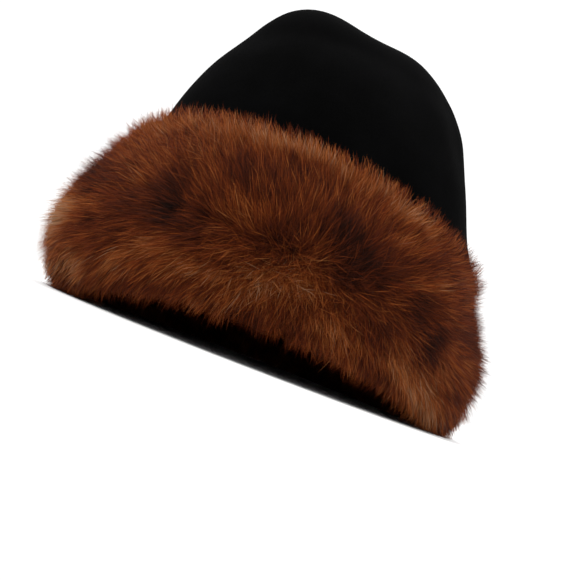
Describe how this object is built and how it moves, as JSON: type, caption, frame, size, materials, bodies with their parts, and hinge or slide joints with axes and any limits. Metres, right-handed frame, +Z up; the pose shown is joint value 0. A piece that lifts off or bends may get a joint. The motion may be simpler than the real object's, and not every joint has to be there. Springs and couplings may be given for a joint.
{
  "type": "fur-trimmed hat",
  "caption": "Tall black velour hat, blocked in one piece with a soft flat top, with a wide flared band of reddish brown fur turned round its lower edge.",
  "frame": {"origin": "on the surface the hat stands on, under the middle of its outline", "axes": "+Z up through the crown, -Y towards the front, where the fur edge is turned up, +X to the right of someone who faces the front"},
  "size_m": [0.3046, 0.3154, 0.2424],
  "materials": {
    "velour": "deep black brushed velour, matt, with a faint soft sheen where it curves away",
    "fur": "dense reddish brown mink fur with darker guard hairs and paler golden underfur"
  },
  "bodies": {
    "root": {"crown": "velour", "fur_brim": "fur"}
  },
  "joints": []
}
